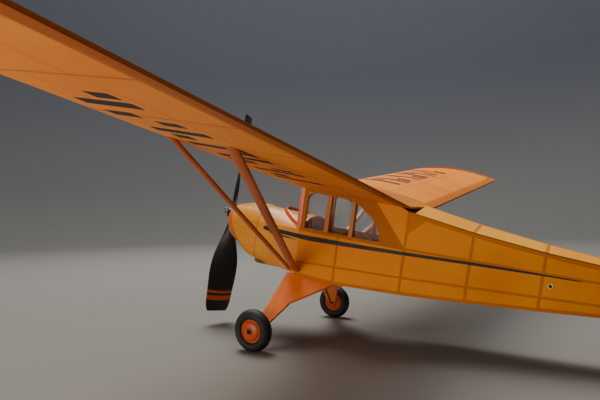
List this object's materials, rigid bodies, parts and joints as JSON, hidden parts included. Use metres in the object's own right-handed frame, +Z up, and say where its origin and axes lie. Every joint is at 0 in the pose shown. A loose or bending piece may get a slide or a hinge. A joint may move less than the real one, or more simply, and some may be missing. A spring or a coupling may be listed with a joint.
{
  "type": "rubber-powered model aeroplane",
  "caption": "High-wing cabin model aeroplane of balsa and doped tissue, driven by a rubber motor, with strutted wings, wire undercarriage and hinged tail surfaces.",
  "frame": {"origin": "on the ground under the middle of the bounding box, with the aircraft standing on its main and tail wheels", "axes": "+X towards the nose, +Y towards the port wing tip, +Z up; the thrust line points 10 degrees up from +X in this stance"},
  "size_m": [0.507, 0.7622, 0.2301],
  "materials": {
    "balsa": "bare, lightly doped",
    "doped_tissue": "doped, satin",
    "painted_sheet": "satin paint on balsa sheet",
    "orange_paint": "satin",
    "clear_sheet": "clear acetate",
    "black_wood": "painted",
    "aluminium_tube": "plain",
    "rubber_strip": "tan",
    "strut_wood": "stained, satin",
    "leg_wood": "painted, satin",
    "music_wire": "drawn wire",
    "brass": "plain",
    "black_rubber": "matte",
    "hub_plastic": "satin",
    "black_plastic": "moulded"
  },
  "bodies": {
    "airframe": {"side_frame_left": "balsa", "side_frame_right": "balsa", "cross_members": "balsa", "deck_frame": "balsa", "side_stringers": "balsa", "side_covering_left": "doped_tissue", "side_covering_right": "doped_tissue", "belly_covering": "doped_tissue", "deck_covering": "doped_tissue", "nose_cowl": "painted_sheet", "front_sheeting": "painted_sheet", "nose_former": "balsa", "firewall": "balsa", "chin_scoop": "painted_sheet", "windscreen": "clear_sheet", "windscreen_frame": "orange_paint", "window_left": "clear_sheet", "window_right": "clear_sheet", "instrument_panel": "painted_sheet", "control_stick": "black_wood", "motor_peg": "aluminium_tube", "peg_plates": "painted_sheet", "rubber_motor": "rubber_strip", "strut_front_left": "strut_wood", "strut_rear_left": "strut_wood", "strut_front_right": "strut_wood", "strut_rear_right": "strut_wood", "leg_fairing_left": "leg_wood", "leg_fairing_right": "leg_wood", "gear_wires": "music_wire", "wheel_retainers": "brass", "wing_covering_left": "doped_tissue", "wing_edges_left": "balsa", "wing_spars_left": "balsa", "wing_ribs_left": "balsa", "wing_covering_right": "doped_tissue", "wing_edges_right": "balsa", "wing_spars_right": "balsa", "wing_ribs_right": "balsa", "centre_section": "doped_tissue", "tailplane_frame": "balsa", "tailplane_covering": "doped_tissue", "fin_frame": "balsa", "fin_covering": "doped_tissue", "tail_wheel_wire": "music_wire"},
    "nose_plug": {"nose_block": "orange_paint", "thrust_bearing": "brass"},
    "propeller_set": {"propeller": "black_plastic", "prop_shaft": "music_wire", "thrust_washers": "brass"},
    "left_wheel": {"tyre_left": "black_rubber", "hub_left": "hub_plastic"},
    "right_wheel": {"tyre_right": "black_rubber", "hub_right": "hub_plastic"},
    "tail_roller": {"tail_wheel": "black_rubber"},
    "elevators": {"elevator_frame": "balsa", "elevator_covering": "doped_tissue"},
    "rudder": {"rudder_frame": "balsa", "rudder_covering": "doped_tissue"}
  },
  "joints": [
    {"name": "nose_block_pull", "type": "slide", "parent": "airframe", "child": "nose_plug", "axis": [0.9848, 0, 0.1736], "range_m": [0, 0.03], "stiffness_N_per_m": 20, "springref_m": -0.01, "deforming": ["rubber_motor"]},
    {"name": "propeller_spin", "type": "hinge", "parent": "nose_plug", "child": "propeller_set", "pos_m": [0.23052, 0, 0.12198], "axis": [0.9848, 0, 0.1736], "continuous": true},
    {"name": "left_wheel_spin", "type": "hinge", "parent": "airframe", "child": "left_wheel", "pos_m": [0.14584, 0.07815, 0.0183], "axis": [0, 1, 0], "continuous": true},
    {"name": "right_wheel_spin", "type": "hinge", "parent": "airframe", "child": "right_wheel", "pos_m": [0.14584, -0.07815, 0.0183], "axis": [0, 1, 0], "continuous": true},
    {"name": "tail_wheel_spin", "type": "hinge", "parent": "airframe", "child": "tail_roller", "pos_m": [-0.18685, 0, 0.007], "axis": [0, 1, 0], "continuous": true},
    {"name": "elevator_hinge", "type": "hinge", "parent": "airframe", "child": "elevators", "pos_m": [-0.20795, 0, 0.06041], "axis": [0, 1, 0], "range_deg": [-20, 20]},
    {"name": "rudder_hinge", "type": "hinge", "parent": "airframe", "child": "rudder", "pos_m": [-0.21047, 0, 0.07469], "axis": [-0.1736, 0, 0.9848], "range_deg": [-20, 20]}
  ]
}
